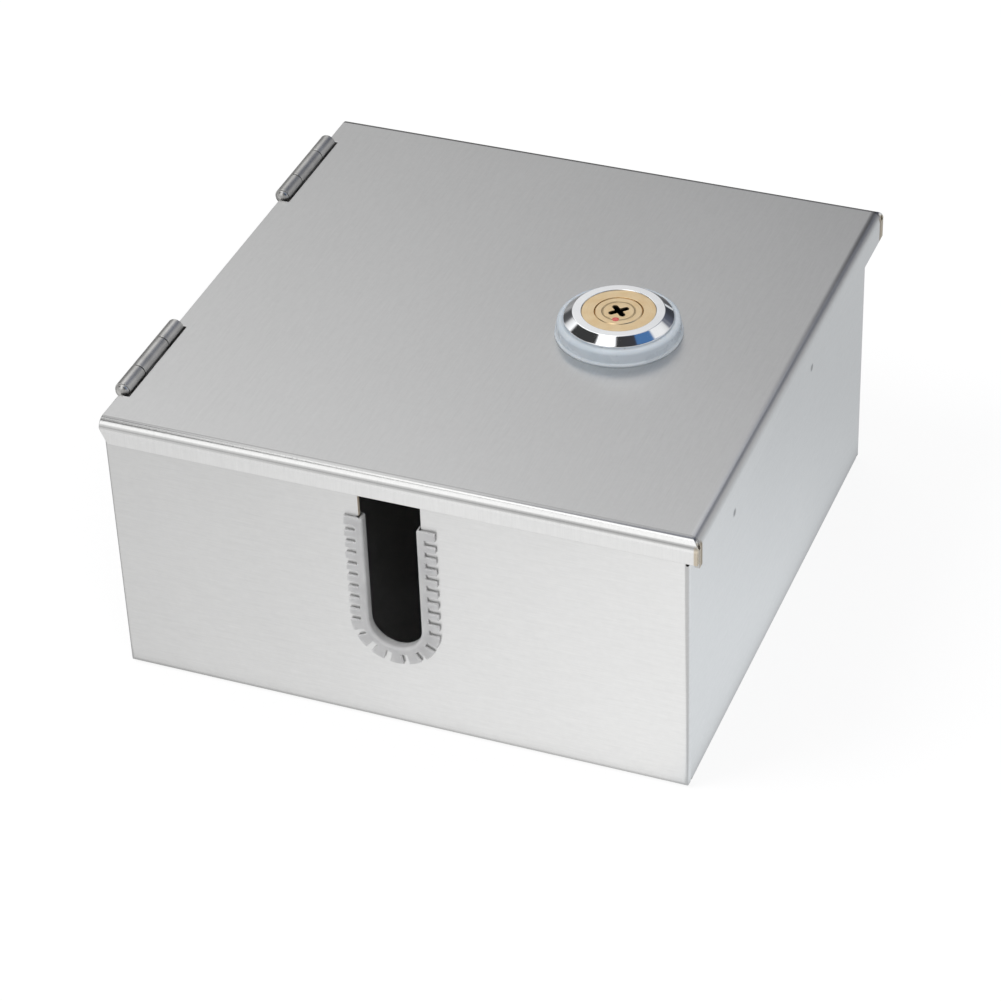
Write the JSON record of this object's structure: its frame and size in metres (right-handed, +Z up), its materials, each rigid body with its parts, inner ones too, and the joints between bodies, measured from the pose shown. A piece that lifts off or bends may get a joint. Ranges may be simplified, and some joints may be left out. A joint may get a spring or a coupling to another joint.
{
  "type": "lockable box",
  "caption": "Small lockable brushed-steel box: folded tray, hinged lid with turned-down lips, cross-key cam lock and a toothed-edge cable slot in the front wall.",
  "frame": {"origin": "centre of the tray's underside, on the surface the box stands on", "axes": "+X towards the lock side, the hinges being on the -X side; +Y to the back, away from the cable slot; +Z up through the lid"},
  "size_m": [0.1216, 0.12, 0.065],
  "materials": {
    "sheet_steel": "brushed",
    "hinge_steel": "satin",
    "plated_zinc": "polished",
    "brass": "turned",
    "clear_plastic": "translucent",
    "trim_nylon": "translucent",
    "zinc_steel": "zinc plated"
  },
  "bodies": {
    "box": {"box_shell": "sheet_steel", "slot_edge_trim": "trim_nylon", "lock_strike": "sheet_steel", "hinge_body_leaf_front": "hinge_steel", "hinge_body_leaf_rear": "hinge_steel", "hinge_pin_front": "hinge_steel", "hinge_pin_rear": "hinge_steel"},
    "lid": {"lid_panel": "sheet_steel", "hinge_lid_leaf_front": "hinge_steel", "hinge_lid_leaf_rear": "hinge_steel", "lock_housing": "plated_zinc", "lock_gasket": "clear_plastic", "lock_cylinder": "brass", "lock_washer": "zinc_steel", "lock_nut": "zinc_steel"},
    "lock_core": {"lock_plug": "brass", "stop_washer": "zinc_steel", "lock_cam": "zinc_steel", "cam_washer": "zinc_steel", "cam_nut": "zinc_steel"}
  },
  "joints": [
    {"name": "lid_hinge", "type": "hinge", "parent": "box", "child": "lid", "pos_m": [-0.0589, 0, 0.0599], "axis": [0, -1, 0], "range_deg": [0, 180]},
    {"name": "lock_turn", "type": "hinge", "parent": "lid", "child": "lock_core", "pos_m": [0.0247, 0.0017, 0.06], "axis": [0, 0, 1], "range_deg": [0, 90]}
  ]
}
